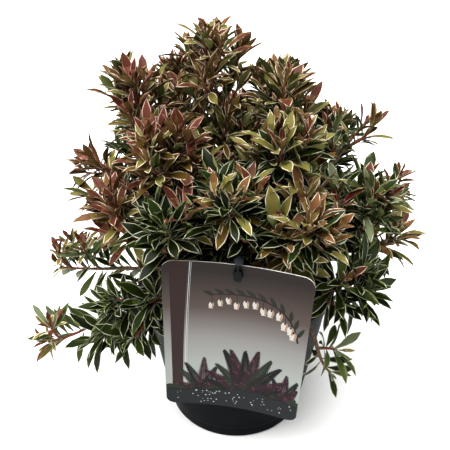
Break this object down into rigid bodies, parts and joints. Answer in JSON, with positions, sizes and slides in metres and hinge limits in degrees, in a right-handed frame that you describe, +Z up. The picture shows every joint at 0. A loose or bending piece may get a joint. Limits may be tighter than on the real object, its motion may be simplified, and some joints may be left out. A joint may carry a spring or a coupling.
{
  "type": "pieris shrub in a nursery pot",
  "caption": "Bushy evergreen shrub with narrow cream-edged leaves and bronze young shoots, in a tapered round nursery pot with a plain picture label tied on in front.",
  "frame": {"origin": "centre of the flat underside of the pot", "axes": "+Z up along the pot's axis, -Y towards the side where the label hangs"},
  "size_m": [0.3461, 0.2951, 0.3878],
  "materials": {
    "pot_plastic": "thermoformed black plastic, satin",
    "compost": "moist dark potting compost, loose and matt",
    "bark": "thin brown bark, finely furrowed",
    "foliage": "leathery leaves, cream margins, bronze young tips",
    "label_card": "printed plastic card, satin",
    "tie_plastic": "moulded black plastic"
  },
  "bodies": {
    "root": {"bough_back": "bark", "bough_back_left": "bark", "bough_back_right": "bark", "bough_front_centre": "bark", "bough_front_left": "bark", "bough_front_right": "bark", "bough_low_back": "bark", "bough_low_back_left": "bark", "bough_low_back_right": "bark", "bough_low_front_left": "bark", "bough_low_front_right": "bark", "bough_low_left": "bark", "bough_low_left_spray": "bark", "bough_low_right": "bark", "bough_low_right_spray": "bark", "bough_middle_left": "bark", "bough_middle_right": "bark", "bough_right": "bark", "bough_shoulder_left": "bark", "bough_shoulder_right": "bark", "bough_top": "bark", "bough_upper_back_left": "bark", "bough_upper_back_right": "bark", "bough_upper_front_left": "bark", "bough_upper_front_right": "bark", "bough_upper_left": "bark", "bough_upper_right": "bark", "compost": "compost", "foliage_back": "foliage", "foliage_back_left": "foliage", "foliage_back_right": "foliage", "foliage_front_centre": "foliage", "foliage_front_left": "foliage", "foliage_front_right": "foliage", "foliage_low_back": "foliage", "foliage_low_back_left": "foliage", "foliage_low_back_right": "foliage", "foliage_low_front_left": "foliage", "foliage_low_front_right": "foliage", "foliage_low_left": "foliage", "foliage_low_left_spray": "foliage", "foliage_low_right": "foliage", "foliage_low_right_spray": "foliage", "foliage_middle_left": "foliage", "foliage_middle_right": "foliage", "foliage_right": "foliage", "foliage_shoulder_left": "foliage", "foliage_shoulder_right": "foliage", "foliage_top": "foliage", "foliage_upper_back_left": "foliage", "foliage_upper_back_right": "foliage", "foliage_upper_front_left": "foliage", "foliage_upper_front_right": "foliage", "foliage_upper_left": "foliage", "foliage_upper_right": "foliage", "label": "label_card", "label_tie": "tie_plastic", "pot": "pot_plastic", "stem": "bark"}
  },
  "joints": []
}
